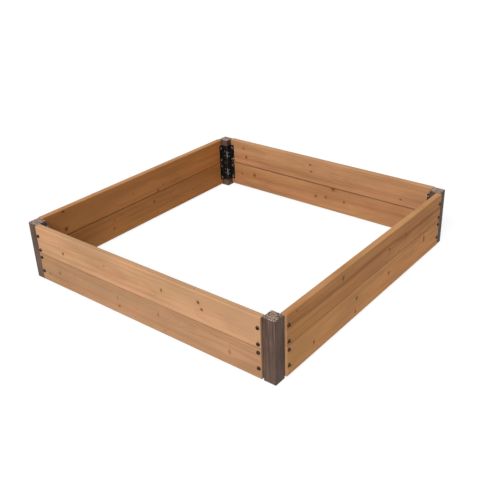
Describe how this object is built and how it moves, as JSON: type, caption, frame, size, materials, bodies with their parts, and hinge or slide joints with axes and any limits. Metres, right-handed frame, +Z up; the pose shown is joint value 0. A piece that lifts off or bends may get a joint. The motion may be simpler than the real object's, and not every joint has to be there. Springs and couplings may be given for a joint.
{
  "type": "raised garden bed",
  "caption": "Square open-bottomed raised garden bed of stacked softwood boards, bolted to folded steel brackets that wrap composite corner posts.",
  "frame": {"origin": "centre of the bed on the plane that it stands on", "axes": "+Z up; the front wall is on the -Y side and the right wall on the +X side; all four walls are alike"},
  "size_m": [0.9206, 0.9206, 0.183],
  "materials": {
    "boards": "oiled red-brown softwood with fine lengthwise grain, small knots and lighter sawn ends",
    "posts": "extruded grey-brown wood-plastic composite, brushed lengthwise, speckled where sawn",
    "brackets": "black powder coat, semi-gloss",
    "bolts_and_nuts": "blackened steel with bright worn edges",
    "post_screws": "bright zinc-plated steel"
  },
  "bodies": {
    "root": {"front_lower_board": "boards", "front_upper_board": "boards", "right_lower_board": "boards", "right_upper_board": "boards", "back_lower_board": "boards", "back_upper_board": "boards", "left_lower_board": "boards", "left_upper_board": "boards", "front_left_post": "posts", "front_left_lower_bracket": "brackets", "front_left_upper_bracket": "brackets", "front_left_bolts": "bolts_and_nuts", "front_left_nuts": "bolts_and_nuts", "front_left_screws": "post_screws", "front_right_post": "posts", "front_right_lower_bracket": "brackets", "front_right_upper_bracket": "brackets", "front_right_bolts": "bolts_and_nuts", "front_right_nuts": "bolts_and_nuts", "front_right_screws": "post_screws", "back_right_post": "posts", "back_right_lower_bracket": "brackets", "back_right_upper_bracket": "brackets", "back_right_bolts": "bolts_and_nuts", "back_right_nuts": "bolts_and_nuts", "back_right_screws": "post_screws", "back_left_post": "posts", "back_left_lower_bracket": "brackets", "back_left_upper_bracket": "brackets", "back_left_bolts": "bolts_and_nuts", "back_left_nuts": "bolts_and_nuts", "back_left_screws": "post_screws"}
  },
  "joints": []
}
